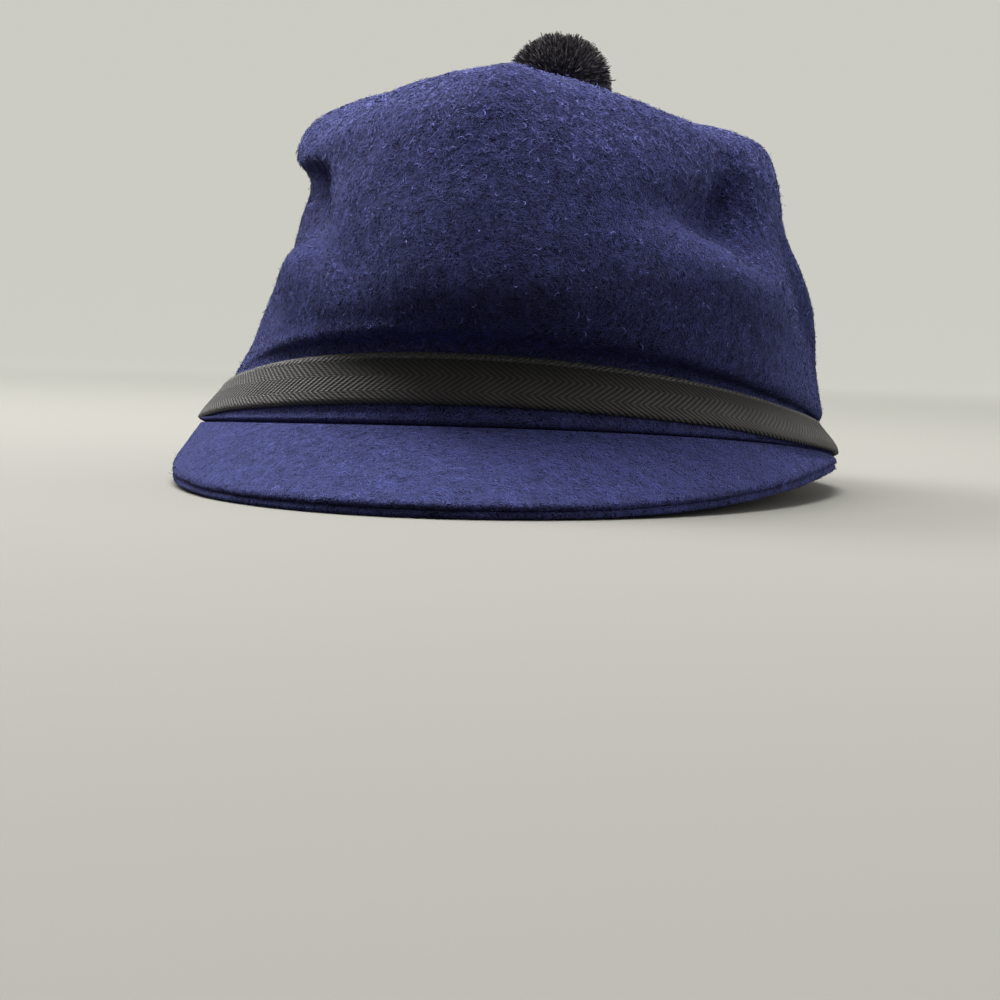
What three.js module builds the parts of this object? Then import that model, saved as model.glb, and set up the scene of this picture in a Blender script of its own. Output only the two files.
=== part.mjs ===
// A stockman cap: a soft melton crown with a twill ribbon round its foot, a short two-ply
// visor and a wool pompom. It rests on the front of its visor and the back of its rim.
// Millimetres, +Z up, with the floor at z = 0. The wearer faces -Y and +X is their left.
// The pieces are drawn about the middle of the head opening and centred at the very end.
import * as THREE from "three";

// ---- Driving dimensions -------------------------------------------------------------
const GAP = 0.3; // air left between neighbouring pieces
const CLOTH = 2.2; // melton wall of the crown
const RIBBON = 1.1; // ribbon thickness
const VISOR_PLY = 1.5; // one of the visor's two cloth plies, measured straight down
const VISOR_REACH = 134; // front edge of the visor, out from the middle of the cap
const VISOR_HALF_WIDTH = 87.8; // its outer edge at the horns
const CLIMB_LEFT = 2; // how late its edge climbs from the floor to the horn, on each side
const CLIMB_RIGHT = 3.2;
const VISOR_HALF_ANGLE = 84.375; // from the middle of the brow round to the tip of a horn
const POMPOM_RADIUS = 14.3;

// Grid counts
const AROUND = 64; // steps round the crown, the ribbon and, over its own angle, the visor
const ROWS = 3; // steps up the outside of the crown from one section to the next
const INNER_ROWS = 2; // and up the inside
const VISOR_ACROSS = 3;
const POMPOM_AROUND = 24;
const POMPOM_ROWS = 13;

// Tables are written with their columns named first and then a row for each thing.
function words(text) {
  return text.split(" ");
}

function table(columns, rows) {
  return rows.map((row) => Object.fromEntries(columns.map((name, i) => [name, row[i]])));
}

// ---- The crown's sections, from the rim up ----------------------------------------------
// The directions are taken every 45 degrees round the cap, from the front past the wearer's
// left (+X) and the back.
const DIRECTIONS = words("front frontLeft left backLeft back backRight right frontRight");

// How far each section reaches out in each direction from its own middle, at x and y.
const REACH = table(["name", "x", "y", ...DIRECTIONS], [
  ["rim",        0,  0,  98.8, 92.4, 86.2, 91.4, 97.6,   91, 85.4, 91.8],
  ["ribbonFoot", 0,  0,  96.8, 91.7, 85.8, 90.8, 97.3, 90.6, 84.8, 90.1],
  ["ribbonTop",  0,  0,  93.5,   86, 80.5, 86.4,   95, 86.4,   79, 84.2],
  ["overhang",   0,  0, 100.5, 90.5, 82.3,   89, 97.6, 87.4,   78, 82.3],
  ["belly",      0,  0,   102,   88,   77,   86,   97,   83,   70, 72.8],
  ["waist",      0,  0,    90,   81,   71,   79,   91,   73,   63,   64],
  ["brow",       0,  2,    80,   75, 67.5,   73,   81,   72,   66, 64.5],
  ["crest",      0,  5,    68,   66,   60,   62,   66,   61,   59,   54],
  ["top",        2, 12,    46,   41,   35,   36,   40,   37,   38,   38],
  ["seat",       5, 20,     8,    8,    8,    8,    8,    8,    8,    8],
]);

// And how high it lies above the floor. The rim is pressed flat where it would sink below.
const HEIGHT = table(["name", ...DIRECTIONS], [
  ["rim",        18.7, 16.4,  9.8,  1.4, -3.5,  1.6, 11.2, 16.2],
  ["ribbonFoot", 23.3, 18.7, 11.7,  4.8,  2.6,    5,   13, 18.5],
  ["ribbonTop",  36.6, 29.4,   19, 15.4,   15,   16, 18.6,   29],
  ["overhang",     42,   34, 22.5,   20,   21,   21, 24.5, 34.5],
  ["belly",        54,   50,   46,   41,   38,   41,   46,   53],
  ["waist",        80,   74,   70,   63,   60,   63,   72,   75],
  ["brow",         97,   88,   87,   79,   75,   80,   87,   88],
  ["crest",       105, 95.8, 94.5,   87,   84,   89, 99.5,   98],
  ["top",         106, 99.3,   99,   95,   92,   97,  105,  106],
  ["seat",       97.8, 97.8, 97.8, 97.8, 97.8, 97.8, 97.8, 97.8],
]);

// Folds and dents. Each runs along a line on the crown from one azimuth (degrees, positive
// towards +X) and height to another. It pushes the cloth out by swell, or in where that is
// negative, within about width of the line.
const FOLDS = table(words("name az1 z1 az2 z2 width swell"), [
  ["notch",       -110, 83, -42, 77, 5.5,  -3.6],
  ["notchTail",    -55, 75, -18, 58,   7,    -3],
  ["cheekRight",   -38, 58, -26, 57,  10,   3.6],
  ["cheekRun",     -36, 58, -54, 40,   8,     2],
  ["frontHollow",  -17, 62,  -6, 40,  10,  -2.4],
  ["dent",          60, 86,  58, 66,   8,    -8],
  ["dentArm",       34, 72,  54, 67,   6,  -4.5],
  ["cheekLeft",     32, 56,  68, 53,  11,   4.8],
  ["footRight",    -64, 33, -10, 42,   6,  -1.4],
  ["sideCrease",   104, 70,  98, 30,   6,  -2.5],
]);

// ---- Small maths ------------------------------------------------------------------------
const LAST = REACH.length - 1;
const radians = (degrees) => (degrees * Math.PI) / 180;
const mix = (a, b, t) => a + (b - a) * t;
const vector = (x, y, z) => new THREE.Vector3(x, y, z);
const smoothstep = (a, b, x) => {
  const t = Math.min(1, Math.max(0, (x - a) / (b - a)));
  return t * t * (3 - 2 * t);
};

// Evenly spaced numbers, both ends included.
function steps(count, from, to) {
  return Array.from({ length: count + 1 }, (_, i) => mix(from, to, i / count));
}

// A column's value at t, counted in sections from the rim, on a Catmull-Rom curve.
function column(table, name, t) {
  const i = Math.min(LAST - 1, Math.max(0, Math.floor(t)));
  const [a, b, c, d] = [i - 1, i, i + 1, i + 2].map((k) => table[Math.min(LAST, Math.max(0, k))][name]);
  const u = t - i;
  return b + 0.5 * u * (c - a + u * (2 * a - 5 * b + 4 * c - d + u * (3 * (b - c) + d - a)));
}

// A table's value round the cap at t: the smoothest wave through its eight directions.
function around(table, azimuth, t) {
  return DIRECTIONS.reduce((sum, name, k) => {
    const away = azimuth - (k * Math.PI) / 4;
    const half = Math.tan(away / 2);
    const weight = Math.abs(Math.sin(away / 2)) < 1e-9 ? 1 : Math.sin(4 * away) / (8 * half);
    return sum + weight * column(table, name, t);
  }, 0);
}

// ---- The crown's outer surface ------------------------------------------------------------
// Height of the lower edge: flat on the floor at the back, it climbs to the visor's seam.
function rimHeight(azimuth) {
  return Math.max(0, around(HEIGHT, azimuth, 0));
}

function plainCrown(azimuth, t) {
  const reach = around(REACH, azimuth, t);
  const pressed = (1 - smoothstep(0, 1, t)) * (rimHeight(azimuth) - around(HEIGHT, azimuth, 0));
  return vector(
    column(REACH, "x", t) + reach * Math.sin(azimuth),
    column(REACH, "y", t) - reach * Math.cos(azimuth),
    around(HEIGHT, azimuth, t) + pressed,
  );
}

// The outward normal of a surface given as a function of azimuth and t.
function normalOf(surface, azimuth, t) {
  const alongA = surface(azimuth + 0.02, t).sub(surface(azimuth - 0.02, t));
  const alongT = surface(azimuth, Math.min(t + 0.05, LAST)).sub(surface(azimuth, Math.max(t - 0.05, 0)));
  return alongA.cross(alongT).normalize();
}

// How far the folds push the cloth out at a point of the plain crown.
function foldSwell(azimuth, z) {
  const degrees = THREE.MathUtils.euclideanModulo(THREE.MathUtils.radToDeg(azimuth) + 180, 360) - 180;
  const arc = radians(80); // millimetres round the crown for each degree, at a reach of 80
  let swell = 0;
  for (const fold of FOLDS) {
    const run = new THREE.Vector2((fold.az2 - fold.az1) * arc, fold.z2 - fold.z1);
    const to = new THREE.Vector2((degrees - fold.az1) * arc, z - fold.z1);
    const share = Math.min(1, Math.max(0, to.dot(run) / run.lengthSq()));
    const away = to.addScaledVector(run, -share).length() / fold.width;
    const fade = Math.sin(Math.PI * mix(0.15, 0.85, share)); // a fold runs out at both its ends
    swell += fold.swell * fade * Math.exp(-away * away);
  }
  return swell;
}

function crownOuter(azimuth, t) {
  const point = plainCrown(azimuth, t);
  const free = smoothstep(2.4, 3.2, t); // the ribbon holds the cloth below it smooth
  return point.addScaledVector(normalOf(plainCrown, azimuth, t), free * foldSwell(azimuth, point.z));
}

// The crown's surface moved out by a distance: level at the rim, square to the cloth above it.
function crownOffset(azimuth, t, distance) {
  const normal = normalOf(crownOuter, azimuth, t);
  const level = vector(normal.x, normal.y, 0).normalize();
  normal.lerp(level, 1 - smoothstep(0, 1, t)).normalize();
  return crownOuter(azimuth, t).addScaledVector(normal, distance);
}

function crownRing(t, distance) {
  return steps(AROUND, 0, 2 * Math.PI)
    .slice(1)
    .map((azimuth) => crownOffset(azimuth, t, distance));
}

// ---- Solids -----------------------------------------------------------------------------
function centroid(loop) {
  return loop.reduce((sum, p) => sum.add(p), vector(0, 0, 0)).divideScalar(loop.length);
}

// Geometry with its faces turned outwards, whichever way round they were listed.
function solid(points, faces) {
  let volume = 0;
  for (let i = 0; i < faces.length; i += 3) {
    const [a, b, c] = [points[faces[i]], points[faces[i + 1]], points[faces[i + 2]]];
    volume += a.dot(b.clone().cross(c));
  }
  if (volume < 0) faces.reverse();
  const geometry = new THREE.BufferGeometry().setFromPoints(points);
  geometry.setIndex(faces);
  geometry.computeVertexNormals();
  return geometry;
}

// A closed solid through loops of points of equal length. Its two ends are each closed by a
// fan to the middle of the loop, or by a strip across it from its first half to its second,
// or else they are joined to each other in a ring.
function loft(loops, ends) {
  const points = loops.flat();
  const width = loops[0].length;
  const faces = [];
  const at = (i, j) => (i % loops.length) * width + (j % width);
  for (let i = 0; i < loops.length - (ends === "ring" ? 0 : 1); i++) {
    for (let j = 0; j < width; j++) {
      faces.push(at(i, j), at(i, j + 1), at(i + 1, j + 1));
      faces.push(at(i, j), at(i + 1, j + 1), at(i + 1, j));
    }
  }
  if (ends === "ring") return solid(points, faces);
  for (const row of [0, loops.length - 1]) {
    const closing = [];
    if (ends === "fan") {
      points.push(centroid(loops[row]));
      for (let j = 0; j < width; j++) closing.push(at(row, j + 1), at(row, j), points.length - 1);
    } else {
      for (let j = 0; j < width / 2 - 1; j++) {
        const [a, b] = [at(row, j), at(row, j + 1)];
        const [c, d] = [at(row, width - 2 - j), at(row, width - 1 - j)];
        closing.push(a, d, c, a, c, b);
      }
    }
    faces.push(...(row === 0 ? closing : closing.reverse()));
  }
  return solid(points, faces);
}

function piece(name, geometry, color, roughness) {
  const material = new THREE.MeshStandardMaterial({ color, roughness, metalness: 0 });
  const mesh = new THREE.Mesh(geometry, material);
  mesh.name = name;
  return mesh;
}

// ---- Pieces -----------------------------------------------------------------------------
// The crown's wall: down the outside from the seat of the pompom, under the rim, up the inside.
function crown() {
  const outside = steps(ROWS * LAST, LAST, 0).map((t) => crownRing(t, 0));
  const inside = steps(INNER_ROWS * LAST, 0, LAST).map((t) => crownRing(t, -CLOTH));
  return loft([...outside, ...inside], "fan");
}

// The ribbon lies on the crown from one section named after it to just short of the other.
function hatRibbon() {
  const levels = steps(ROWS, 1, 1.9);
  const inside = levels.map((t) => crownRing(t, GAP));
  const outside = levels.map((t) => crownRing(t, GAP + RIBBON));
  return loft([...inside, ...outside.reverse()], "ring");
}

// The visor's top surface along one line straight out from the middle of the cap: from under
// the crown's wall, past the seam, to the edge. Along runs from -1 at the wearer's right horn
// to 1 at the left one.
function visorLine(along) {
  const azimuth = radians(VISOR_HALF_ANGLE) * along;
  const down = vector(0, 0, -GAP);
  const rear = crownOffset(azimuth, 0, -CLOTH).add(down);
  const seam = crownOffset(azimuth, 0, 0).add(down);
  const turn = Math.atan2(VISOR_REACH * Math.sin(azimuth), VISOR_HALF_WIDTH * Math.cos(azimuth));
  const climb = (1 - Math.cos(turn)) ** (along < 0 ? CLIMB_RIGHT : CLIMB_LEFT);
  const edge = vector(
    VISOR_HALF_WIDTH * Math.sin(turn),
    -VISOR_REACH * Math.cos(turn),
    mix(2 * VISOR_PLY + GAP, seam.z + 1, climb),
  );
  const out = steps(VISOR_ACROSS, 0, 1).map((share) => seam.clone().lerp(edge, share));
  return [rear, ...out];
}

function visorPly(drop) {
  const lowered = (line, by) => line.map((p) => p.clone().add(vector(0, 0, -by)));
  const count = Math.round((AROUND * 2 * VISOR_HALF_ANGLE) / 360);
  const sections = steps(count, -1, 1).map((along) => {
    const line = visorLine(along);
    return [...lowered(line, drop), ...lowered(line, drop + VISOR_PLY).reverse()];
  });
  return loft(sections, "strip");
}

// A ball that sits flat on the crown's seat.
function pompom() {
  const seat = centroid(crownRing(LAST, 0));
  const floor = seat.z + GAP;
  const centre = seat.clone().add(vector(0, 0, 0.92 * POMPOM_RADIUS));
  const ring = (tilt) =>
    steps(POMPOM_AROUND, 0, 2 * Math.PI)
      .slice(1)
      .map((azimuth) => {
        const point = vector(0, 0, 0).setFromSphericalCoords(POMPOM_RADIUS, tilt, azimuth);
        const turned = vector(point.z, point.x, point.y).add(centre);
        turned.z = Math.max(turned.z, floor);
        return turned;
      });
  return loft(steps(POMPOM_ROWS, radians(12), radians(156)).map(ring), "fan");
}

const MELTON = 0x2a2f6b;
const cap = new THREE.Group();
cap.add(piece("crown", crown(), MELTON, 0.95));
cap.add(piece("hat_ribbon", hatRibbon(), 0x17171a, 0.7));
cap.add(piece("visor_upper_ply", visorPly(0), MELTON, 0.95));
cap.add(piece("visor_under_ply", visorPly(VISOR_PLY + GAP), MELTON, 0.95));
cap.add(piece("pompom", pompom(), 0x16141a, 1));

// The origin is the middle of the footprint, on the floor.
const box = new THREE.Box3().setFromObject(cap);
const middle = box.getCenter(vector(0, 0, 0));
cap.children.forEach((mesh) => mesh.geometry.translate(-middle.x, -middle.y, -box.min.z));

export default cap;
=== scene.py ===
"""Stockman cap: a slouched melton crown, a herringbone ribbon, a two-ply visor and a wool pompom."""

import math
from typing import NamedTuple

import bpy
import numpy as np
from mathutils import Matrix, Vector, noise


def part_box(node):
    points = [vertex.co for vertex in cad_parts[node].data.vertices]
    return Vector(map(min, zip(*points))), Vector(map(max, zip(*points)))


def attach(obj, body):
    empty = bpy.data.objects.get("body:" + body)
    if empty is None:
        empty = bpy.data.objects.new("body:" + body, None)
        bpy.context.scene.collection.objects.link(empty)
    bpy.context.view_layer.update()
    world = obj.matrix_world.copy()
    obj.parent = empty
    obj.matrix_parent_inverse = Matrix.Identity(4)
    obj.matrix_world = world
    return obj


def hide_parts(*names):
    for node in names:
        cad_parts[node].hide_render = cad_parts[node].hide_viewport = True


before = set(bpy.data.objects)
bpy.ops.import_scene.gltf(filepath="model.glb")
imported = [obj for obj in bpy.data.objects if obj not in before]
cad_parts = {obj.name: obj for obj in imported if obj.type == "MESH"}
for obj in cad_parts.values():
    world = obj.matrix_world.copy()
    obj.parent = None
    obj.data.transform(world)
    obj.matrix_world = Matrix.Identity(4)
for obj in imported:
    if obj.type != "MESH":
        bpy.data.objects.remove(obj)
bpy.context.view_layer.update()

MM = 0.001

# ---- Driving dimensions, in millimetres, as in the CAD ---------------------------------
GAP = 0.3  # air left between neighbouring pieces
CLOTH = 2.2  # melton wall of the crown
RIBBON = 1.1  # ribbon thickness
VISOR_PLY = 1.5  # one of the visor's two plies
VISOR_REACH = 134  # front edge of the visor, out from the middle of the cap
VISOR_HALF_WIDTH = 87.8  # its outer edge at the horns
CLIMB_LEFT, CLIMB_RIGHT = 2, 3.2  # how late its edge climbs from the floor to the horn
VISOR_HALF_ANGLE = 84.375  # from the middle of the brow round to the tip of a horn
POMPOM_RADIUS = 14.3

# ---- The crown's sections, from the rim up ---------------------------------------------
# How far each reaches out in eight directions from its own middle (x, y), and how high it
# lies there. The directions run from the front past the wearer's left and the back.
#            x   y   front  fLeft  left  bLeft  back  bRight right fRight
REACH = {
    "rim":        (0, 0, 98.8, 92.4, 86.2, 91.4, 97.6, 91, 85.4, 91.8),
    "ribbonFoot": (0, 0, 96.8, 91.7, 85.8, 90.8, 97.3, 90.6, 84.8, 90.1),
    "ribbonTop":  (0, 0, 93.5, 86, 80.5, 86.4, 95, 86.4, 79, 84.2),
    "overhang":   (0, 0, 100.5, 90.5, 82.3, 89, 97.6, 87.4, 78, 82.3),
    "belly":      (0, 0, 102, 88, 77, 86, 97, 83, 70, 72.8),
    "waist":      (0, 0, 90, 81, 71, 79, 91, 73, 63, 64),
    "brow":       (0, 2, 80, 75, 67.5, 73, 81, 72, 66, 64.5),
    "crest":      (0, 5, 68, 66, 60, 62, 66, 61, 59, 54),
    "top":        (2, 12, 46, 41, 35, 36, 40, 37, 38, 38),
    "seat":       (5, 20, 8, 8, 8, 8, 8, 8, 8, 8),
}
HEIGHT = {
    "rim":        (18.7, 16.4, 9.8, 1.4, -3.5, 1.6, 11.2, 16.2),
    "ribbonFoot": (23.3, 18.7, 11.7, 4.8, 2.6, 5, 13, 18.5),
    "ribbonTop":  (36.6, 29.4, 19, 15.4, 15, 16, 18.6, 29),
    "overhang":   (42, 34, 22.5, 20, 21, 21, 24.5, 34.5),
    "belly":      (54, 50, 46, 41, 38, 41, 46, 53),
    "waist":      (80, 74, 70, 63, 60, 63, 72, 75),
    "brow":       (97, 88, 87, 79, 75, 80, 87, 88),
    "crest":      (105, 95.8, 94.5, 87, 84, 89, 99.5, 98),
    "top":        (106, 99.3, 99, 95, 92, 97, 105, 106),
    "seat":       (97.8, 97.8, 97.8, 97.8, 97.8, 97.8, 97.8, 97.8),
}

# Folds and dents, each along a line on the crown: azimuth (degrees, positive towards +X)
# and height at both ends, width, and how far it pushes the cloth out (in if negative).
#   name           az1   z1  az2   z2    width swell
FOLDS = {
    "notch":         (-110, 83, -42, 77, 5.5, -3.6),
    "notchTail":     (-55, 75, -18, 58, 7, -3),
    "cheekRight":    (-38, 58, -26, 57, 10, 3.6),
    "cheekRun":      (-36, 58, -54, 40, 8, 2),
    "frontHollow":   (-17, 62, -6, 40, 10, -2.4),
    "dent":          (60, 86, 58, 66, 8, -8),
    "dentArm":       (34, 72, 54, 67, 6, -4.5),
    "cheekLeft":     (32, 56, 68, 53, 11, 4.8),
    "footRight":     (-64, 33, -10, 42, 6, -1.4),
    "sideCrease":    (104, 70, 98, 30, 6, -2.5),
}
# Finer ones that the CAD leaves out.
FINE_FOLDS = {
    "creaseFine":    (-56, 78, -28, 65, 7, -1.4),
    "dentFine":      (56, 82, 55, 62, 9, -5.5),
    "nose":          (8, 106, 1, 90, 6, 1.8),
    "noseSide":      (-27, 99, -7, 101, 6, -2),
    "backCreaseOne": (150, 62, 176, 50, 7, -2),
    "backCreaseTwo": (-160, 66, -128, 58, 7, -1.8),
    "sideSoft":      (-98, 48, -84, 34, 7, -1.4),
    "sideRidge":     (82, 66, 95, 38, 6, 2.8),
    "footSoft":      (-64, 31, -12, 40, 6, 0.7),
    "dentWide":      (46, 81, 47, 65, 8, -3.6),
}

FOLD_REACH = 80  # folds are laid out as on a crown of this reach
LAST = len(REACH) - 1
REACH_TABLE = np.array(list(REACH.values()), float)
HEIGHT_TABLE = np.array(list(HEIGHT.values()), float)

# The CAD is drawn about the middle of the head opening and then centred. The pompom, whose
# middle is above the seat, says how far it was moved.
pompom_low, pompom_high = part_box("pompom")
POMPOM_MIDDLE = np.array((pompom_low + pompom_high) / 2) / MM
SHIFT = np.array([*(POMPOM_MIDDLE[:2] - REACH_TABLE[-1, :2]), 0])


# ---- Small maths ----------------------------------------------------------------------
def smoothstep(a, b, x):
    t = np.clip((x - a) / (b - a), 0, 1)
    return t * t * (3 - 2 * t)


def unit(v):
    return v / np.maximum(np.linalg.norm(v, axis=-1, keepdims=True), 1e-12)


def column(table, t):
    """A table's columns at t, counted in sections from the rim, on a Catmull-Rom curve."""
    i = np.clip(np.floor(t).astype(int), 0, LAST - 1)
    a, b, c, d = (table[np.clip(i + k, 0, LAST)] for k in (-1, 0, 1, 2))
    u = (t - i)[..., None]
    return b + 0.5 * u * (c - a + u * (2 * a - 5 * b + 4 * c - d + u * (3 * (b - c) + d - a)))


def around(table, azimuth, t):
    """The table's value round the cap at t: the smoothest wave through its eight columns."""
    away = azimuth[..., None] - np.arange(8) * math.pi / 4
    near = np.abs(np.sin(away / 2)) < 1e-9
    half = np.tan(np.where(near, 1, away) / 2)
    weight = np.where(near, 1, np.sin(4 * away) / (8 * half))
    return (weight * column(table, t)).sum(-1)


# ---- The crown's surface ---------------------------------------------------------------
def plain_crown(azimuth, t):
    """The crown's outside without its folds, its rim pressed flat where it would reach the floor."""
    reach = around(REACH_TABLE[:, 2:], azimuth, t)
    middle = column(REACH_TABLE[:, :2], t)
    wave = around(HEIGHT_TABLE, azimuth, np.zeros_like(t))
    pressed = (1 - smoothstep(0, 1, t)) * (np.maximum(0, wave) - wave)
    return np.stack(
        [
            middle[..., 0] + reach * np.sin(azimuth),
            middle[..., 1] - reach * np.cos(azimuth),
            around(HEIGHT_TABLE, azimuth, t) + pressed,
        ],
        -1,
    )


def normal_of(surface, azimuth, t, step_a=0.02, step_t=0.05):
    """The surface's outward normal, from points a small step to each side."""
    above, below = np.minimum(t + step_t, LAST), np.maximum(t - step_t, 0)
    along_a = surface(azimuth + step_a, t) - surface(azimuth - step_a, t)
    along_t = surface(azimuth, above) - surface(azimuth, below)
    return unit(np.cross(along_a, along_t))


def fold_swell(folds, azimuth, z):
    """How far the folds push the cloth out at that azimuth and height, in millimetres."""
    degrees = (np.degrees(azimuth) + 180) % 360 - 180
    arc = math.radians(FOLD_REACH)
    swell = np.zeros_like(z)
    for az1, z1, az2, z2, width, push in folds.values():
        run = np.array([(az2 - az1) * arc, z2 - z1])
        across = ((degrees - az1 + 180) % 360 - 180) * arc
        share = np.clip((across * run[0] + (z - z1) * run[1]) / (run @ run), 0, 1)
        away = np.hypot(across - share * run[0], z - z1 - share * run[1]) / width
        swell += push * np.sin(math.pi * (0.15 + 0.7 * share)) * np.exp(-away * away)
    return swell


def crown_outer(azimuth, t):
    """The crown's outside with its folds."""
    point = plain_crown(azimuth, t)
    free = smoothstep(2.4, 3.2, t)  # the ribbon holds the cloth below it smooth
    swell = free * fold_swell({**FOLDS, **FINE_FOLDS}, azimuth, point[..., 2])
    return point + normal_of(plain_crown, azimuth, t) * swell[..., None]


def crown_normal(azimuth, t):
    """Level at the rim, square to the cloth above it."""
    normal = normal_of(crown_outer, azimuth, t)
    level = unit(normal * [1, 1, 0])
    share = (1 - smoothstep(0, 1, t))[..., None]
    return unit(normal + (level - normal) * share)


def crown_offset(azimuth, t, distance):
    """A point that far out from the crown's outside, or in from it if negative."""
    azimuth, t, distance = np.broadcast_arrays(azimuth, np.asarray(t, float), np.asarray(distance, float))
    return crown_outer(azimuth, t) + crown_normal(azimuth, t) * distance[..., None]


def lumps(points, size, seed):
    """Smooth noise from -1 to 1, with lumps of about that size in millimetres."""
    flat = (points.reshape(-1, 3) / size + seed).tolist()
    return np.array([noise.noise(p) for p in flat]).reshape(points.shape[:-1])


# ---- Meshes ---------------------------------------------------------------------------
def mesh_object(name, points, faces):
    """A smooth mesh object from points in the drawn frame, in millimetres, none below the floor."""
    mesh = bpy.data.meshes.new(name)
    placed = (np.asarray(points, float) + SHIFT) * MM
    placed[:, 2] = np.maximum(placed[:, 2], 0)
    mesh.from_pydata(placed.tolist(), [], faces if isinstance(faces, list) else faces.tolist())
    mesh.validate()
    mesh.polygons.foreach_set("use_smooth", [True] * len(mesh.polygons))
    piece = bpy.data.objects.new(name, mesh)
    bpy.context.scene.collection.objects.link(piece)
    return piece


def grid_faces(rows, columns, wrap_rows=False, wrap_columns=True):
    """Quads of a grid of points, row after row."""
    i = np.arange(rows if wrap_rows else rows - 1)
    j = np.arange(columns if wrap_columns else columns - 1)
    i, j = np.meshgrid(i, j, indexing="ij")
    down, right = (i + 1) % rows, (j + 1) % columns
    quads = [i * columns + j, i * columns + right, down * columns + right, down * columns + j]
    return np.stack(quads, -1).reshape(-1, 4)


def set_float(piece, name, values):
    """Stores a number for each point, which a material reads by that name."""
    attribute = piece.data.attributes.new(name, "FLOAT", "POINT")
    attribute.data.foreach_set("value", np.asarray(values, np.float32).ravel())


def set_uv(piece, u, v, around_length):
    """UVs in metres along and across a closed band. Its last quads run on past the full length."""
    layer = piece.data.uv_layers.new(name="cloth")
    corner = np.empty(len(piece.data.loops), int)
    piece.data.loops.foreach_get("vertex_index", corner)
    along = np.ravel(u)[corner].reshape(-1, 4)
    wraps = along.max(1) - along.min(1) > around_length / 2
    along[wraps] += np.where(along[wraps] < around_length / 2, around_length, 0)
    uv = np.stack([along.ravel(), np.ravel(v)[corner]], -1) * MM
    layer.data.foreach_set("uv", uv.astype(np.float32).ravel())


def finish_piece(piece, material, slot, *nodes):
    """Gives a piece its material, hangs it under the root and hides the CAD nodes it stands for. The slot
    is not used.
    """
    piece.data.materials.append(material)
    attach(piece, "root")
    if nodes:
        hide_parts(*nodes)


# ---- Materials ------------------------------------------------------------------------
class Nodes:
    """Short names for building a material's node tree."""

    def __init__(self, name, **constants):
        self.material = bpy.data.materials.new(name)
        self.material.use_nodes = True
        self.tree = self.material.node_tree
        self.shader = self.tree.nodes["Principled BSDF"]
        for socket, value in constants.items():
            self.shader.inputs[socket.replace("_", " ")].default_value = value

    def add(self, kind, inputs=(), **settings):
        node = self.tree.nodes.new(kind)
        for key, value in settings.items():
            setattr(node, key, value)
        for key, value in dict(inputs).items():
            if isinstance(value, bpy.types.NodeSocket):
                self.tree.links.new(value, node.inputs[key])
            else:
                node.inputs[key].default_value = value
        return node

    def out(self, kind, inputs=(), output=0, **settings):
        """Adds a node and gives one of its outputs."""
        return self.add(kind, inputs, **settings).outputs[output]

    def math(self, operation, a, b=0.5, c=0.0, clamp=False):
        return self.out("ShaderNodeMath", {0: a, 1: b, 2: c}, operation=operation, use_clamp=clamp)

    def noise(self, vector, scale, detail=3.0, roughness=0.5, distortion=0.0):
        return self.out(
            "ShaderNodeTexNoise",
            {
                "Vector": vector,
                "Scale": scale,
                "Detail": detail,
                "Roughness": roughness,
                "Distortion": distortion,
            },
        )

    def remap(self, value, low, high, to_low=0.0, to_high=1.0):
        return self.out(
            "ShaderNodeMapRange",
            {"Value": value, "From Min": low, "From Max": high, "To Min": to_low, "To Max": to_high},
        )

    def blend(self, factor, a, b):
        node = self.add("ShaderNodeMix", data_type="RGBA", blend_type="MIX", clamp_factor=True)
        for index, value in ((0, factor), (6, a), (7, b)):
            if isinstance(value, bpy.types.NodeSocket):
                self.tree.links.new(value, node.inputs[index])
            else:
                node.inputs[index].default_value = value
        return node.outputs[2]

    def link(self, socket, name):
        self.tree.links.new(socket, self.shader.inputs[name])

    def bump(self, height, strength, distance):
        return self.out("ShaderNodeBump", {"Height": height, "Strength": strength, "Distance": distance})


def melton(name, pit_painted_shade, mid, light):
    """Brushed wool melton: curled matted fibres over pits painted dark as shade, under a soft nap."""
    n = Nodes(name, Roughness=0.95, Specular_IOR_Level=0.06, Sheen_Weight=0.45, Sheen_Roughness=0.4)
    n.shader.inputs["Sheen Tint"].default_value = (0.3, 0.36, 1, 1)
    place = n.out("ShaderNodeTexCoord", output=3)

    def curls(scale, warp):
        """Thin bright curly lines: the zero line of a warped noise."""
        wave = n.noise(place, scale, 2, 0.55, warp)
        return n.remap(n.math("ABSOLUTE", n.math("SUBTRACT", wave, 0.5)), 0.0, 0.085, 1.0, 0.0)

    coarse = curls(330, 2.4)
    fine = curls(640, 1.8)
    clumps = n.remap(n.noise(place, 260, 3, 0.6, 0.5), 0.32, 0.68)
    broad = n.remap(n.noise(place, 30, 2, 0.5, 0.2), 0.35, 0.65, -0.06, 0.06)
    fibres_on_top = n.math("MAXIMUM", coarse, n.math("MULTIPLY", fine, 0.7))
    clumped = n.math("MULTIPLY_ADD", clumps, 0.5, broad)
    tone = n.math("MULTIPLY_ADD", fibres_on_top, 0.45, clumped, clamp=True)
    # Painted shade: the pit colour darkens the cloth where the bump lies low between the curls and
    # clumps; the lighter tones are the wool's own.
    lower = n.blend(n.remap(tone, 0.05, 0.5), pit_painted_shade, mid)
    n.link(n.blend(n.remap(tone, 0.5, 1.0), lower, light), "Base Color")
    height = n.math("MULTIPLY_ADD", clumps, 0.9, fibres_on_top)
    n.link(n.bump(height, 0.9, 0.0009), "Normal")
    n.link(n.remap(tone, 0, 1, 1.0, 0.85), "Roughness")
    return n.material


def fibre_material(name, dark, light, sheen, tint):
    """Single hairs, each with a tone of its own."""
    n = Nodes(name, Roughness=0.9, Specular_IOR_Level=0.08, Sheen_Weight=sheen, Sheen_Roughness=0.35)
    n.shader.inputs["Sheen Tint"].default_value = (*tint, 1)
    tone = n.out("ShaderNodeAttribute", output=2, attribute_name="tone")
    n.link(n.blend(tone, dark, light), "Base Color")
    return n.material


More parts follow.
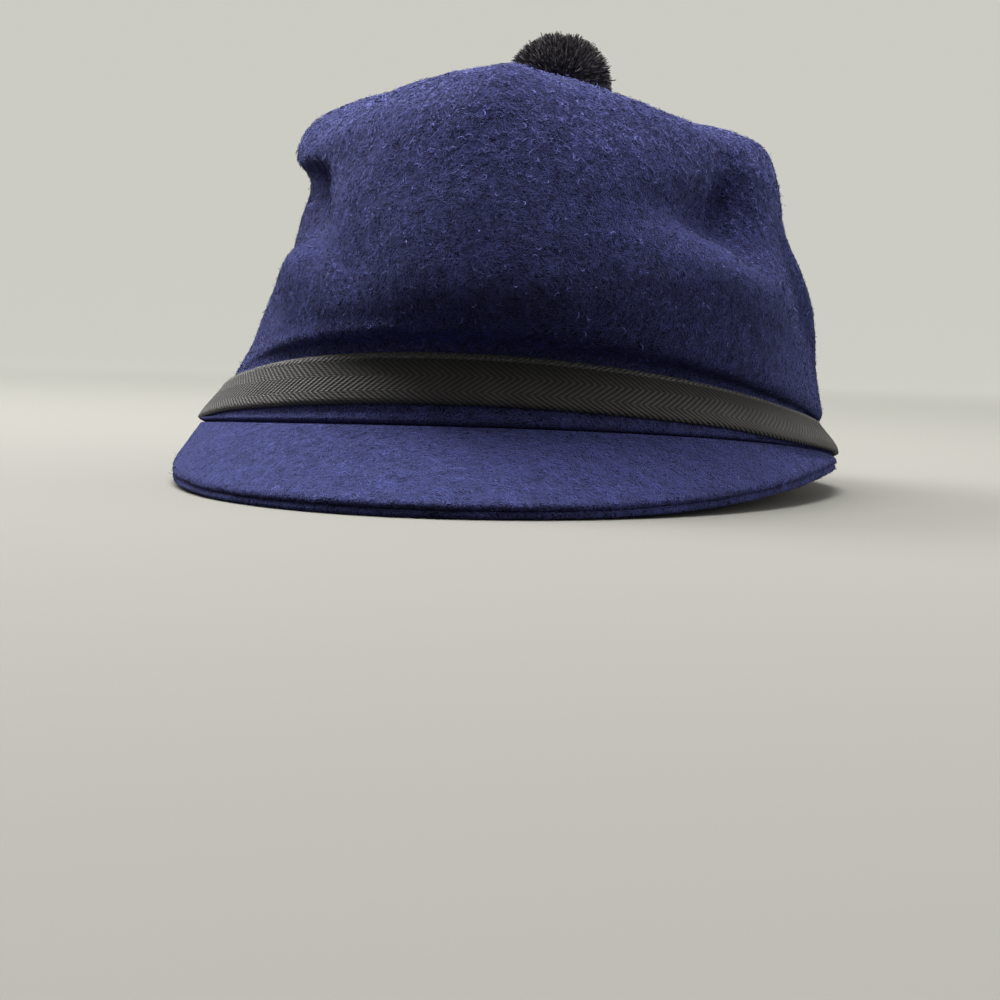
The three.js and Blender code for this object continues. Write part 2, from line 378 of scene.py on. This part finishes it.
WALE_PITCH = 1.75 * MM  # from wale to wale
YARN_PITCH = 0.42 * MM  # from yarn to yarn, across the tape
HERRINGBONE_ROW = 3.4 * MM  # how wide a row of slanted wales is
WALE_SLANT = 1.5  # how far a wale runs along for each step across
SELVEDGE = (0.85, 0.87)  # where the upper selvedge begins, as a share of the tape's width


def herringbone(name):
    """Black twill tape: a herringbone of fine wales, unevenly worn, lighter near its foot and darker
    towards its top in painted shade under the crown's overhang, and a light selvedge.
    """
    n = Nodes(name, Roughness=0.65, Specular_IOR_Level=0.16, Sheen_Weight=0.03, Sheen_Roughness=0.35)
    n.shader.inputs["Sheen Tint"].default_value = (0.8, 0.8, 0.8, 1)
    uv = n.out("ShaderNodeUVMap", uv_map="cloth")
    parts = n.add("ShaderNodeSeparateXYZ", {0: uv})
    u, v = parts.outputs[0], parts.outputs[1]
    wobble = n.math("MULTIPLY_ADD", n.noise(uv, 400, 2), 0.0005, u)
    # A zigzag across the tape, in rows of wales.
    zigzag = n.math("PINGPONG", v, HERRINGBONE_ROW)
    slanted = n.math("MULTIPLY_ADD", zigzag, WALE_SLANT, wobble)
    wale = n.math("PINGPONG", n.math("MULTIPLY", slanted, 1 / WALE_PITCH), 0.5)
    wale = n.math("MULTIPLY", wale, 2.0)
    yarn = n.math("PINGPONG", n.math("MULTIPLY", v, 1 / YARN_PITCH), 0.5)
    yarn = n.math("MULTIPLY", yarn, 2.0)
    height = n.math("MULTIPLY_ADD", yarn, 0.3, wale)
    worn = n.noise(uv, 120, 3, 0.6)
    across = n.out("ShaderNodeAttribute", output=2, attribute_name="across")
    uneven = n.remap(worn, 0.3, 0.7, 0.75, 1.15)
    # Painted shade: the tape is lighter at its foot and darkens towards its top edge, as under the
    # crown's overhang; the noise over it is uneven wear.
    wear_and_painted_shade = n.math("MULTIPLY", uneven, n.remap(across, 0.35, 0.8, 1.2, 0.36))
    lightness = n.math("MULTIPLY", n.math("MULTIPLY_ADD", wale, 0.6, 0.18), wear_and_painted_shade)
    stitches = n.remap(n.noise(uv, 1500, 1), 0.45, 0.65)
    stitched = n.math("MULTIPLY_ADD", stitches, 0.8, 0.3)
    selvedge = n.math("MULTIPLY", n.remap(across, *SELVEDGE), stitched)
    colour = n.blend(lightness, (0.002, 0.002, 0.0022, 1), (0.046, 0.0435, 0.043, 1))
    n.link(n.blend(selvedge, colour, (0.07, 0.068, 0.07, 1)), "Base Color")
    n.link(n.bump(height, 0.65, 0.0003), "Normal")
    n.link(n.remap(wale, 0, 1, 0.75, 0.48), "Roughness")
    return n.material


MELTON = melton(
    "melton",
    # The pit colour is painted shade between the fibres.
    pit_painted_shade=(0.003, 0.003, 0.012, 1),
    mid=(0.0145, 0.0155, 0.06, 1),
    light=(0.037, 0.041, 0.17, 1),
)
MELTON_FIBRE = fibre_material(
    "melton_fibre",
    dark=(0.003, 0.0033, 0.014, 1),
    light=(0.121, 0.134, 0.38, 1),
    sheen=0.2,
    tint=(0.45, 0.5, 1),
)
TWILL = herringbone("twill")
WOOL = fibre_material(
    "pompom_wool",
    dark=(0.012, 0.011, 0.012, 1),
    light=(0.24, 0.225, 0.235, 1),
    sheen=0.25,
    tint=(0.8, 0.8, 0.85),
)


# ---- Fibres ---------------------------------------------------------------------------
BENDS = 4  # straight stretches in a hair
STRAYS = 0.05  # the share of hairs that stand up from the rest


class Hair(NamedTuple):
    """One kind of wool hair, in millimetres."""

    length: float
    width: float
    lift: float  # how far it rises off the cloth at a bend
    curl: float  # how far it turns at a bend, in radians
    on_top: float  # the share that is longer and lighter and lies on top
    # Below 1 it is painted shade: on the visor, shaded by the crown, and darker still on its raw front
    # edge.
    lightness_with_painted_shade: float  # how light the kind is


CROWN_HAIR = Hair(length=1.9, width=0.21, lift=0.06, curl=0.9, on_top=0.3, lightness_with_painted_shade=1.0)
# The visor's fewer light hairs on top and lower lightness are painted shade under the crown; the raw
# edge's lower lightness is painted shade on its dim front.
VISOR_HAIR = Hair(length=1.5, width=0.18, lift=0.05, curl=1.0, on_top=0.12, lightness_with_painted_shade=0.8)
EDGE_HAIR = Hair(length=1.3, width=0.17, lift=0.16, curl=1.0, on_top=0.1, lightness_with_painted_shade=0.5)


def fibres(name, roots, normals, hair, seed):
    """Curled hairs matted over the cloth: tapering strips that lie along it, each rolled its own way.

    They lie in tufts a millimetre or two wide, which stand a little higher and are lighter.
    """
    random = np.random.default_rng(seed)
    count = len(roots)
    tuft = np.clip(0.45 + 1.5 * lumps(roots, 2.0, 1.7), 0, 1)
    on_top = random.uniform(size=count) < hair.on_top * (0.25 + 1.5 * tuft)
    heading = unit(np.cross(normals, random.normal(size=(count, 3)) * [1, 1, 0.6]))
    step = random.uniform(0.6, 1.25, count) * hair.length / BENDS * np.where(on_top, 1.25, 0.9)
    turn = random.uniform(0.5, 1.5, count) * random.choice([-1, 1], count) * hair.curl
    stray = random.uniform(size=count) < STRAYS
    rise = (0.3 + np.minimum(np.abs(random.normal(size=count)), 2.2)) * hair.lift * (0.4 + tuft)
    rise = rise * np.where(stray, 2.2, 1)
    point = roots + normals * np.where(on_top, 0.14, 0.0)[:, None]
    roll = random.uniform(-0.8, 0.8, (count, 1))
    widths = hair.width * random.uniform(0.6, 1.2, count) * np.where(on_top, 1.25, 1)
    rings = []
    for k in range(BENDS + 1):
        side = np.cross(normals, heading)
        half = unit(side + normals * roll) * (widths * (1 - 0.5 * k / BENDS) / 2)[:, None]
        rings += [point - half, point + half] if k < BENDS else [point]
        climb = rise * math.sin(math.pi * (k + 1) / (BENDS + 1.5))
        point = point + heading * step[:, None] + normals * climb[:, None]
        angle = (turn * random.uniform(0.6, 1.4, count))[:, None]
        heading = unit(heading * np.cos(angle) + side * np.sin(angle))
    points = np.stack(rings, 1)
    per = points.shape[1]
    base = np.arange(count)[:, None] * per
    quads = [base + np.array([2 * k, 2 * k + 1, 2 * k + 3, 2 * k + 2]) for k in range(BENDS - 1)]
    tips = base + np.array([2 * BENDS - 2, 2 * BENDS - 1, 2 * BENDS])
    piece = mesh_object(name, points.reshape(-1, 3), np.concatenate(quads).tolist() + tips.tolist())
    tone = np.where(on_top, 0.35 + 0.65 * tuft, 0.05 + 0.42 * tuft) * random.uniform(0.5, 1, count)
    # Painted shade darkens the visor's hairs, and those on its edge more.
    tone = np.where(stray, 1, tone * 0.7) * hair.lightness_with_painted_shade
    set_float(piece, "tone", np.repeat(tone, per))
    finish_piece(piece, MELTON_FIBRE, "melton")


def scatter(surface_points, faces, count, seed, keep=None):
    """Points spread evenly over a quad mesh, with their normals."""
    random = np.random.default_rng(seed)
    p = surface_points[faces]
    area = np.linalg.norm(np.cross(p[:, 2] - p[:, 0], p[:, 3] - p[:, 1]), axis=-1) / 2
    if keep is not None:
        area = area * keep(p.mean(1))
    chosen = random.choice(len(faces), count, p=area / area.sum())
    q = p[chosen]
    a, b = random.uniform(size=(2, count, 1))
    point = (q[:, 0] * (1 - a) + q[:, 1] * a) * (1 - b) + (q[:, 3] * (1 - a) + q[:, 2] * a) * b
    normal = unit(np.cross(q[:, 2] - q[:, 0], q[:, 3] - q[:, 1]))
    return point, normal


# ---- Crown ----------------------------------------------------------------------------
AROUND = 340  # points in a ring
OUTER_ROWS = 170
INNER_ROWS = 24
EDGE_ROWS = 6
WALL_FOOT = 0.75  # the section where the wall ends and the rounded rim begins
RIBBON_LAP = 1.9  # the section that the ribbon's upper edge reaches
# The cloth's ripple above the ribbon: lumps of two sizes, their height, and a seed for each.
#           size height seed
RIPPLES = ((19, 0.5, 3.1), (6.5, 0.22, 8.7))


def ring_grid(levels, count):
    """Azimuth and section of a grid of points: a ring of them at each level."""
    azimuth = np.arange(count) / count * 2 * math.pi
    return np.meshgrid(levels, azimuth, indexing="ij")[::-1]


def make_crown():
    """The shell, outside from the top down, round the rim and up the inside. Returns its outside."""
    azimuth, t = ring_grid(np.linspace(LAST, WALL_FOOT, OUTER_ROWS), AROUND)
    outside = crown_outer(azimuth, t)
    normal = crown_normal(azimuth, t)
    free = smoothstep(2.0, 2.8, t)
    ripple = sum(height * lumps(outside, size, seed) for size, height, seed in RIPPLES)
    outside = outside + normal * (free * ripple)[..., None]

    azimuth_rim = azimuth[0]
    rounding = []
    for angle in np.linspace(0, math.pi, EDGE_ROWS + 1):
        ring = crown_offset(azimuth_rim, np.zeros(AROUND), (math.cos(angle) - 1) * CLOTH / 2)
        ring[:, 2] += (1 - math.sin(angle)) * CLOTH / 2
        rounding.append(ring)
    azimuth_in, t_in = ring_grid(np.linspace(WALL_FOOT, LAST, INNER_ROWS), AROUND)
    inside = crown_offset(azimuth_in, t_in, -CLOTH)
    rings = np.concatenate([outside, np.array(rounding), inside])
    rows = len(rings)
    sheet = rings.reshape(-1, 3)
    quads = grid_faces(rows, AROUND)
    points = np.concatenate([sheet, [rings[0].mean(0), rings[-1].mean(0)]])
    top, under_top = len(points) - 2, len(points) - 1
    last = (rows - 1) * AROUND
    caps = [[top, (k + 1) % AROUND, k] for k in range(AROUND)]
    caps += [[under_top, last + k, last + (k + 1) % AROUND] for k in range(AROUND)]
    piece = mesh_object("felt_crown", points, quads.tolist() + caps)
    finish_piece(piece, MELTON, "melton", "crown")
    return sheet, quads[: (OUTER_ROWS - 1) * AROUND]


crown_points, crown_quads = make_crown()


def bare_of_ribbon(p):
    """Fuzz grows above the ribbon only."""
    azimuth = np.arctan2(p[:, 0], -p[:, 1])
    top = around(HEIGHT_TABLE, azimuth, np.full(len(p), RIBBON_LAP))
    return (p[:, 2] > top + 0.6).astype(float)


# The crown's hairs are spread over all of it three times, to keep each piece small.
HAIRS_A_PIECE = 24000
FUZZ_SEEDS = {"left": 11, "middle": 12, "right": 13}

for side, seed in FUZZ_SEEDS.items():
    roots, normals = scatter(crown_points, crown_quads, HAIRS_A_PIECE, seed, bare_of_ribbon)
    fibres(f"crown_fuzz_{side}", roots, -normals, CROWN_HAIR, seed)  # the crown's quads face in

# ---- Ribbon ---------------------------------------------------------------------------
RIBBON_AROUND = 420  # points in a ring
FACE_ROWS = 15  # points across its face
ROUNDED = 1 / 12  # the share of the width that rounds off at each edge
RIBBON_BULGE = 0.35  # how much its middle stands proud
SELVEDGE_AT, SELVEDGE_WIDTH, SELVEDGE_RISE = 0.94, 0.035, 0.18
HORN_SAG = 0.45  # how far its foot sags over the visor's horns, in sections


def ribbon_profile():
    """Outward offset and share across, from the foot up the face and back down behind."""
    profile = []
    for s in np.linspace(0, 1, FACE_ROWS):
        from_edge = min(s, 1 - s)
        edge = math.sin(math.pi / 2 * from_edge / ROUNDED) if from_edge < ROUNDED else 1
        bulge = RIBBON_BULGE * math.sin(math.pi * s)
        selvedge = SELVEDGE_RISE * math.exp(-(((s - SELVEDGE_AT) / SELVEDGE_WIDTH) ** 2))
        profile.append((GAP + (RIBBON - 0.15) * (0.35 + 0.65 * edge) + bulge + selvedge, s))
    return profile + [(GAP, 1), (GAP, 0.5), (GAP, 0)]


def make_ribbon():
    """A band a little crowned across its width, with rounded edges and a fine selvedge."""
    profile = ribbon_profile()
    azimuth = math.pi + np.arange(RIBBON_AROUND) / RIBBON_AROUND * 2 * math.pi  # from the back
    turned = np.abs(np.degrees(azimuth) - 360)  # 0 in front, 180 behind
    foot = 1 - HORN_SAG * smoothstep(40, 75, turned) * (1 - smoothstep(95, 120, turned))
    rings = np.array([crown_offset(azimuth, foot + (RIBBON_LAP - foot) * s, d) for d, s in profile])
    points = rings.reshape(-1, 3)
    quads = grid_faces(len(profile), RIBBON_AROUND, wrap_rows=True)
    piece = mesh_object("twill_ribbon", points, quads)
    middle = rings[FACE_ROWS // 2]
    steps = np.linalg.norm(np.roll(middle, -1, axis=0) - middle, axis=-1)
    along = np.cumsum(steps) - steps
    tall = np.linalg.norm(rings[FACE_ROWS - 1] - rings[0], axis=-1)
    u = np.tile(along, len(profile))
    v = np.concatenate([tall * s for _, s in profile])
    set_uv(piece, u, v, steps.sum())
    set_float(piece, "across", np.repeat([s for _, s in profile], RIBBON_AROUND))
    finish_piece(piece, TWILL, "ribbon", "hat_ribbon")


make_ribbon()

# ---- Visor ----------------------------------------------------------------------------
VISOR_LINES = 300  # lines from seam to edge, from horn to horn
VISOR_STEPS = 22  # points along a line
EDGE_STEPS = 4  # points round the raw edge
LOWER_PLY = VISOR_PLY + GAP  # how far below the upper ply the lower one lies


def visor_surface(along):
    """The visor's top surface: lines straight out from the middle, from seam to edge."""
    azimuth = math.radians(VISOR_HALF_ANGLE) * along
    zero = np.zeros_like(azimuth)
    rear = crown_offset(azimuth, zero, -CLOTH) - [0, 0, GAP]
    seam = crown_offset(azimuth, zero, 0.0) - [0, 0, GAP]
    turn = np.arctan2(VISOR_REACH * np.sin(azimuth), VISOR_HALF_WIDTH * np.cos(azimuth))
    climb = (1 - np.cos(turn)) ** np.where(along < 0, CLIMB_RIGHT, CLIMB_LEFT)
    low = VISOR_PLY + LOWER_PLY
    height = low + (seam[:, 2] - low) * climb
    edge = np.stack([VISOR_HALF_WIDTH * np.sin(turn), -VISOR_REACH * np.cos(turn), height], -1)
    return rear, seam, edge


def make_visor_ply(name, drop, node, seed):
    """One ply with a rounded raw edge. Returns its mesh and how many rows its top has."""
    along = np.linspace(-1, 1, VISOR_LINES)
    rear, seam, edge = visor_surface(along)
    out = unit(edge - seam)
    radius = VISOR_PLY / 2
    rows = [rear - [0, 0, drop]]
    for share in np.linspace(0, 1, VISOR_STEPS):
        row = seam + (edge - out * radius - seam) * share
        rows.append(row - [0, 0, drop])
    tops = len(rows)
    for angle in np.linspace(0, math.pi, EDGE_STEPS + 2)[1:-1]:
        lip = edge - out * (radius * (1 - math.sin(angle)))
        rows.append(lip - [0, 0, drop + radius * (1 - math.cos(angle))])
    for row in rows[:tops][::-1]:
        rows.append(row - [0, 0, VISOR_PLY])
    rings = np.array(rows)
    # The raw edge is a little uneven and the cloth a little wavy.
    wave = 0.22 * lumps(rings, 9, seed) + 0.1 * lumps(rings, 3, seed + 5)
    weight = np.zeros(len(rows))
    weight[tops - 6 : tops + 10] = 1
    rings = rings + out[None] * (wave * weight[:, None])[..., None]
    rings[..., 2] = np.maximum(rings[..., 2], 0)
    points = rings.reshape(-1, 3)
    quads = grid_faces(len(rows), VISOR_LINES, wrap_rows=True, wrap_columns=False)
    first = [i * VISOR_LINES for i in range(len(rows))]
    ends = [first[::-1], [i + VISOR_LINES - 1 for i in first]]
    piece = mesh_object(name, points, quads.tolist() + ends)
    finish_piece(piece, MELTON, "melton", node)
    return points, quads, tops


upper_points, upper_quads, visor_tops = make_visor_ply("visor_upper", 0.0, "visor_upper_ply", 2.0)
under_points, under_quads, _ = make_visor_ply("visor_under", LOWER_PLY, "visor_under_ply", 6.0)

TOP_HAIRS = 15000
EDGE_HAIRS = 2600  # on the edge of each ply


def clear_of_crown(p):
    """Fuzz grows on the visor outside the crown's rim only."""
    azimuth = np.arctan2(p[:, 0], -p[:, 1])
    rim = np.stack(crown_offset(azimuth, np.zeros(len(p)), 0.0).T[:2])
    clear = np.hypot(p[:, 0], p[:, 1]) > np.hypot(*rim) + 1.2
    return clear.astype(float)


def visor_rows(quads, first, last):
    """The quads between two rows of the visor's mesh."""
    return quads[first * (VISOR_LINES - 1) : last * (VISOR_LINES - 1)]


def make_visor_fuzz():
    """Hairs on the visor's top, and round the raw edges of both plies.

    The plies' quads face in, and so do these hairs: they lie lower in the cloth than the crown's.
    """
    top = visor_rows(upper_quads, 0, visor_tops + EDGE_STEPS)
    roots, normals = scatter(upper_points, top, TOP_HAIRS, 21, clear_of_crown)
    fibres("visor_fuzz_top", roots, normals, VISOR_HAIR, 21)

    plies = ((upper_points, upper_quads, 22), (under_points, under_quads, 23))
    edges = []
    for points, quads, seed in plies:
        edge = visor_rows(quads, visor_tops - 1, visor_tops + EDGE_STEPS + 2)
        edges.append(scatter(points, edge, EDGE_HAIRS, seed))
    roots, normals = (np.concatenate(parts) for parts in zip(*edges))
    fibres("visor_fuzz_edge", roots, normals, EDGE_HAIR, 24)


make_visor_fuzz()

# ---- Pompom ---------------------------------------------------------------------------
TUFTS = 5200
STRANDS = 5  # in a tuft
STRAND_LEVELS = (0.62, 0.85, 1.0)  # the points of a strand, as shares of its reach
STRAND_BEND = 1.7
POMPOM_SEED = 31
CORE_ROWS, CORE_AROUND = 34, 64


def evenly_round(count):
    """Directions spread evenly over a ball."""
    k = np.arange(count) + 0.5
    z = 1 - 2 * k / count
    turn = k * math.pi * (3 - math.sqrt(5))
    return np.stack([np.sqrt(1 - z * z) * np.cos(turn), np.sqrt(1 - z * z) * np.sin(turn), z], -1)


def make_pompom_pile(middle, floor):
    """Tufts of trimmed wool ends, each a flat strip that bends a little."""
    random = np.random.default_rng(POMPOM_SEED)
    out = evenly_round(TUFTS)
    out = unit(out + random.normal(size=out.shape) * 0.035)
    lumpy = 1.01 + 0.06 * lumps(out * 10, 4.5, 4.4) + 0.05 * lumps(out * 10, 1.6, 9.1)
    points, tones = [], []
    for _ in range(STRANDS):
        way = unit(out + random.normal(size=out.shape) * 0.07)
        reach = POMPOM_RADIUS * lumpy * random.uniform(0.86, 1.02, TUFTS)
        side = unit(np.cross(way, random.normal(size=out.shape)))
        bend = unit(np.cross(way, side)) * random.normal(size=(TUFTS, 1)) * STRAND_BEND
        wide = random.uniform(0.14, 0.26, (TUFTS, 1))
        for level in STRAND_LEVELS:
            at = middle + way * (reach * level)[:, None] + bend * level**2
            at[:, 2] = np.maximum(at[:, 2], floor)
            half = side * wide * (1 if level < 1 else 0.55)
            points += [at - half, at + half]
        tones.append(random.beta(1.5, 2.6, TUFTS))
    per_strand = 2 * len(STRAND_LEVELS)
    base = np.arange(TUFTS)[:, None] * STRANDS * per_strand
    faces = []
    for strand in range(STRANDS):
        for level in range(len(STRAND_LEVELS) - 1):
            a = per_strand * strand + 2 * level
            faces.append(base + np.array([a, a + 1, a + 3, a + 2]))
    piece = mesh_object("pompom_pile", np.stack(points, 1).reshape(-1, 3), np.concatenate(faces))
    set_float(piece, "tone", np.repeat(np.stack(tones, 1), per_strand, axis=1))
    finish_piece(piece, WOOL, "wool", "pompom")


def make_pompom_core(middle, floor):
    """A lumpy ball inside the pile, so that nothing shows through, painted dark as the shade deep in the
    wool.
    """
    azimuth, tilt = np.meshgrid(
        np.arange(CORE_AROUND) / CORE_AROUND * 2 * math.pi,
        np.linspace(0.02, math.pi - 0.02, CORE_ROWS),
    )
    ball = np.stack([np.sin(tilt) * np.cos(azimuth), np.sin(tilt) * np.sin(azimuth), np.cos(tilt)], -1)
    radius = POMPOM_RADIUS * (0.84 + 0.05 * lumps(ball * 10, 2.2, 7.7))
    core = middle + ball * radius[..., None]
    core[..., 2] = np.maximum(core[..., 2], floor)
    piece = mesh_object("pompom_core", core.reshape(-1, 3), grid_faces(CORE_ROWS, CORE_AROUND))
    # Painted shade: the core's low tone stands for the wool in shade deep inside the pompom.
    set_float(piece, "tone", np.full(CORE_ROWS * CORE_AROUND, 0.08))
    finish_piece(piece, WOOL, "wool")


def make_pompom():
    """A dense ball of wool that sits on the seat, flattened below."""
    middle = POMPOM_MIDDLE - SHIFT
    middle[2] = pompom_high.z / MM - POMPOM_RADIUS
    floor = pompom_low.z / MM
    make_pompom_pile(middle, floor)
    make_pompom_core(middle, floor)


make_pompom()

# ---- Camera ---------------------------------------------------------------------------
CAMERA_AZIMUTH, CAMERA_ELEVATION, CAMERA_ROLL = 11.13, 3.0, 1.6  # degrees
CAMERA_DISTANCE = 600  # from the aim
CAMERA_AIM = np.array([0, 0, 10.5]) + SHIFT
CAMERA_LENS, SENSOR = 78.0, 36.0
AIM_IN_PICTURE = (0.519, 0.441)  # from the left and from the top


def make_camera():
    a, e, r = (math.radians(x) for x in (CAMERA_AZIMUTH, CAMERA_ELEVATION, CAMERA_ROLL))
    back = Vector((math.sin(a) * math.cos(e), -math.cos(a) * math.cos(e), math.sin(e)))
    level = Vector((math.cos(a), math.sin(a), 0))
    upright = back.cross(level)
    right = math.cos(r) * level + math.sin(r) * upright
    up = math.cos(r) * upright - math.sin(r) * level
    data = bpy.data.cameras.new("camera")
    camera = bpy.data.objects.new("camera", data)
    bpy.context.scene.collection.objects.link(camera)
    placed = Matrix((right, up, back)).transposed().to_4x4()
    placed.translation = Vector(CAMERA_AIM * MM) + back * CAMERA_DISTANCE * MM
    camera.matrix_world = placed
    data.sensor_width, data.lens = SENSOR, CAMERA_LENS
    data.shift_x, data.shift_y = 0.5 - AIM_IN_PICTURE[0], AIM_IN_PICTURE[1] - 0.5
    data.clip_start = 0.01
    bpy.context.scene.camera = camera


make_camera()

# ---- Floor and light ------------------------------------------------------------------
# The floor, in metres: flat out to one radius, then bent up into a round wall.
FLOOR_NEAR = 0.35  # how far from the middle the floor is plain card
FLOOR_FAR = 1.3  # and from where it is a lit sweep
FLAT_OUT = 1.5
SWEEP_BEND = 0.8  # radius of the bend
WALL_TOP = 2.6
FLOOR_AROUND = 96  # points in a ring
FLOOR_COLOUR = (0.15, 0.15, 0.14)
SWEEP_GLOW = (0.6, 0.6, 0.545)

# Soft round lights, aimed at the crown: place and size in metres, and watts.
#                x      y     z     size watts
LIGHTS = {
    "overhead": (-0.15, 0.18, 1.3,  1.0, 48),
    "side":     (-0.95, 0.4,  0.95, 0.8, 26),
    "far_side": (0.95,  0.1,  0.3,  0.6, 4),
}
LIGHT_AIM = (0, 0, 0.05)
LIGHT_COLOUR = (1, 0.99, 0.97)
WORLD_COLOUR = (1, 0.96, 0.89, 1)
# How the world's light grows along an axis: from and to where, and from and to how much.
BEHIND_CAP = (-0.6, 0.5, 0.36, 1.5)
ABOVE_FLOOR = (-0.3, 0.1, 0.12, 1)


def sweep_material():
    """Pale card that turns into an evenly lit studio sweep far from the cap."""
    n = Nodes("studio_sweep", Roughness=0.95, Specular_IOR_Level=0.05)
    n.shader.inputs["Emission Strength"].default_value = 1.0
    place = n.out("ShaderNodeTexCoord", output=3)
    distance = n.out("ShaderNodeVectorMath", {0: place}, output=1, operation="LENGTH")
    far = n.out(
        "ShaderNodeMapRange",
        {"Value": distance, "From Min": FLOOR_NEAR, "From Max": FLOOR_FAR},
        interpolation_type="SMOOTHSTEP",
    )
    n.link(n.blend(far, (*FLOOR_COLOUR, 1), (0, 0, 0, 1)), "Base Color")
    n.link(n.blend(far, (0, 0, 0, 1), (*SWEEP_GLOW, 1)), "Emission Color")
    return n.material


def make_floor():
    """A pale floor that sweeps up into a round wall far behind the cap."""
    profile = [(r, 0.0) for r in (0.0, 0.2, 0.4, 0.6, 0.8, 1.0, 1.2, FLAT_OUT)]
    for angle in np.linspace(0, math.pi / 2, 13)[1:]:
        profile.append((FLAT_OUT + SWEEP_BEND * math.sin(angle), SWEEP_BEND * (1 - math.cos(angle))))
    wall = FLAT_OUT + SWEEP_BEND
    profile += [(wall, 2 * SWEEP_BEND), (wall, WALL_TOP)]
    azimuth = np.arange(FLOOR_AROUND) / FLOOR_AROUND * 2 * math.pi
    rings = np.array([[(r * math.sin(a), r * math.cos(a), z) for a in azimuth] for r, z in profile])
    mesh = bpy.data.meshes.new("floor")
    mesh.from_pydata(rings.reshape(-1, 3).tolist(), [], grid_faces(len(profile), FLOOR_AROUND).tolist())
    mesh.polygons.foreach_set("use_smooth", [True] * len(mesh.polygons))
    mesh.materials.append(sweep_material())
    floor = bpy.data.objects.new("floor", mesh)
    bpy.context.scene.collection.objects.link(floor)
    floor.visible_diffuse = False  # black card round the cap keeps the light under it low


def soft_light(name, x, y, z, size, watts):
    data = bpy.data.lights.new(name, "AREA")
    data.shape, data.size, data.energy, data.color = "DISK", size, watts, LIGHT_COLOUR
    light = bpy.data.objects.new(name, data)
    light.location = (x, y, z)
    light.rotation_euler = (Vector(LIGHT_AIM) - Vector((x, y, z))).to_track_quat("-Z", "Y").to_euler()
    light.visible_camera = False
    bpy.context.scene.collection.objects.link(light)


def make_world():
    """Light from all round: weak from in front and below, strong from the walls behind the cap."""
    world = bpy.data.worlds.new("world")
    bpy.context.scene.world = world
    world.use_nodes = True
    tree = world.node_tree
    place = tree.nodes.new("ShaderNodeTexCoord")
    parts = tree.nodes.new("ShaderNodeSeparateXYZ")
    tree.links.new(place.outputs["Generated"], parts.inputs[0])
    both = tree.nodes.new("ShaderNodeMath")
    both.operation = "MULTIPLY"
    for index, (axis, ramp) in enumerate(((1, BEHIND_CAP), (2, ABOVE_FLOOR))):
        node = tree.nodes.new("ShaderNodeMapRange")
        for socket, value in zip(("From Min", "From Max", "To Min", "To Max"), ramp):
            node.inputs[socket].default_value = value
        tree.links.new(parts.outputs[axis], node.inputs["Value"])
        tree.links.new(node.outputs[0], both.inputs[index])
    background = tree.nodes["Background"]
    background.inputs[0].default_value = WORLD_COLOUR
    tree.links.new(both.outputs[0], background.inputs[1])


def make_light():
    """A broad light above, a weaker one at each side, and bright walls behind the cap."""
    make_world()
    for name, row in LIGHTS.items():
        soft_light(name, *row)
    bpy.context.scene.view_settings.view_transform = "Standard"


make_floor()
make_light()
